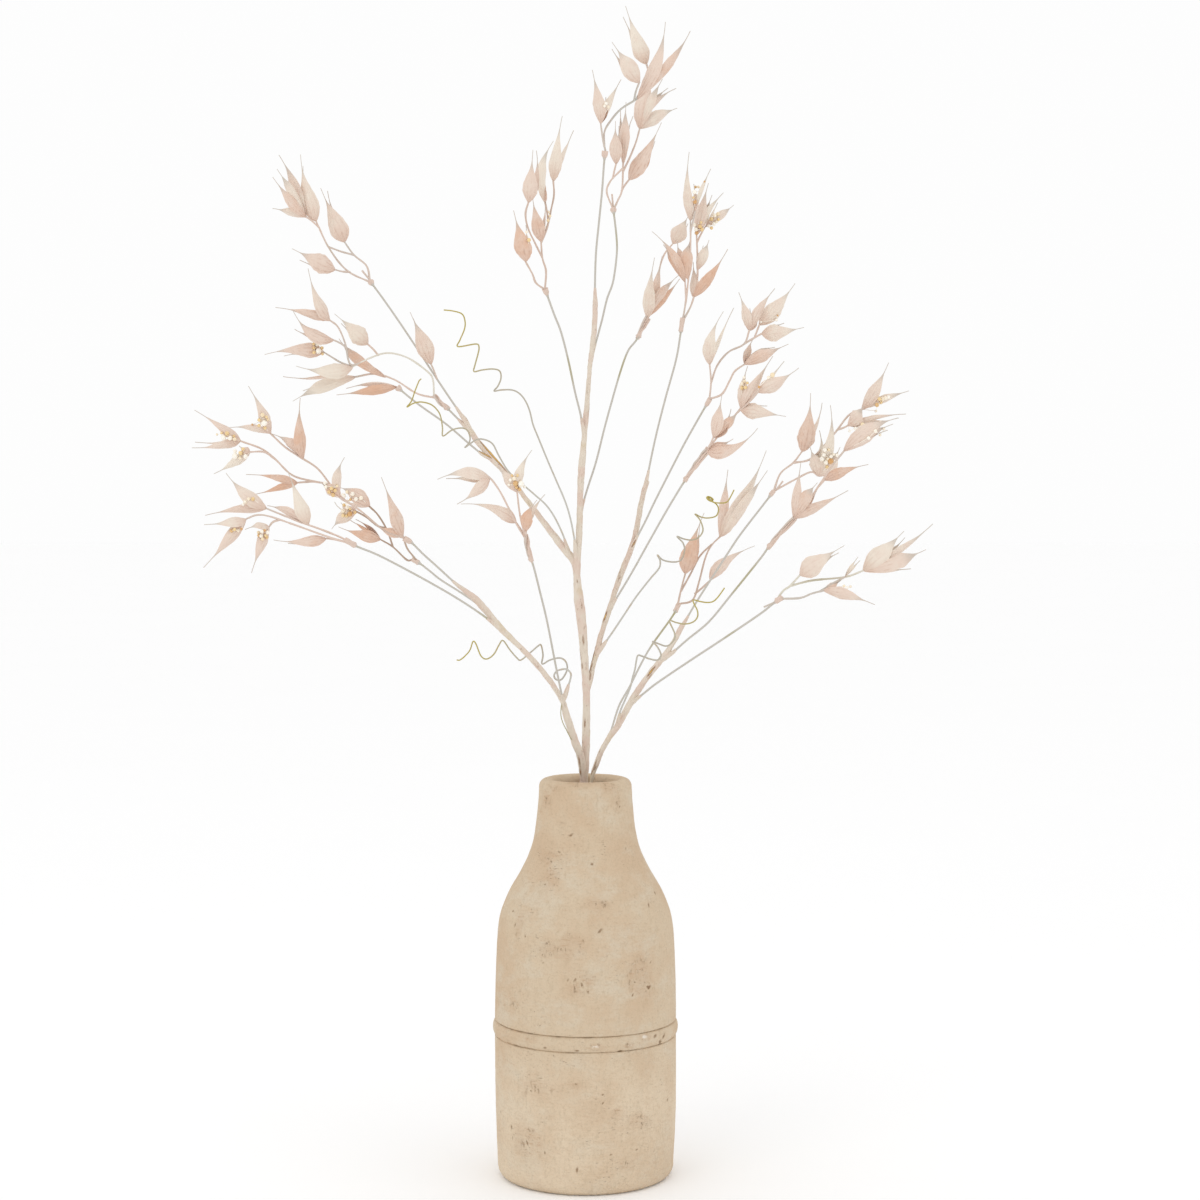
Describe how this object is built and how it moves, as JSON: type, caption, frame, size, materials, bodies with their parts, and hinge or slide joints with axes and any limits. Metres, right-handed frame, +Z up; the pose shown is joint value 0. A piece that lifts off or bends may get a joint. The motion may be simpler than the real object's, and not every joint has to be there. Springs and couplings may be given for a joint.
{
  "type": "vase of twigs",
  "caption": "Bottle vase of rough plaster holding an artificial branching spray of oat-like husks, beads and curly tendrils on paper-wrapped wires.",
  "frame": {"origin": "centre of the vase's foot, on the plane it stands on", "axes": "+Z up along the vase's axis; -Y towards the side of the spray that faces the viewer; +X to that viewer's right"},
  "size_m": [0.5054, 0.2309, 0.8156],
  "materials": {
    "vase": "rough matte, unglazed",
    "stem": "crinkled wrapping paper over wire",
    "husks": "ribbed, slightly shiny, with pearl beads",
    "tendrils": "satin"
  },
  "bodies": {
    "root": {"vase": "vase", "spray_stem": "stem", "sprig_left_low": "husks", "sprig_left_mid": "husks", "sprig_left_inner": "husks", "sprig_left_upper": "husks", "sprig_left_single": "husks", "sprig_left_top": "husks", "sprig_front": "husks", "sprig_crown_left": "husks", "sprig_crown_mid": "husks", "sprig_crown_right": "husks", "sprig_upper_right_back": "husks", "sprig_upper_right": "husks", "sprig_right_upper": "husks", "sprig_right_mid": "husks", "sprig_right_outer": "husks", "sprig_right_pink": "husks", "sprig_right_low": "husks", "sprig_right_inner": "husks", "tendril_top_left": "tendrils", "tendril_mid_left": "tendrils", "tendril_low_left": "tendrils", "tendril_upper_right": "tendrils", "tendril_right": "tendrils"}
  },
  "joints": []
}
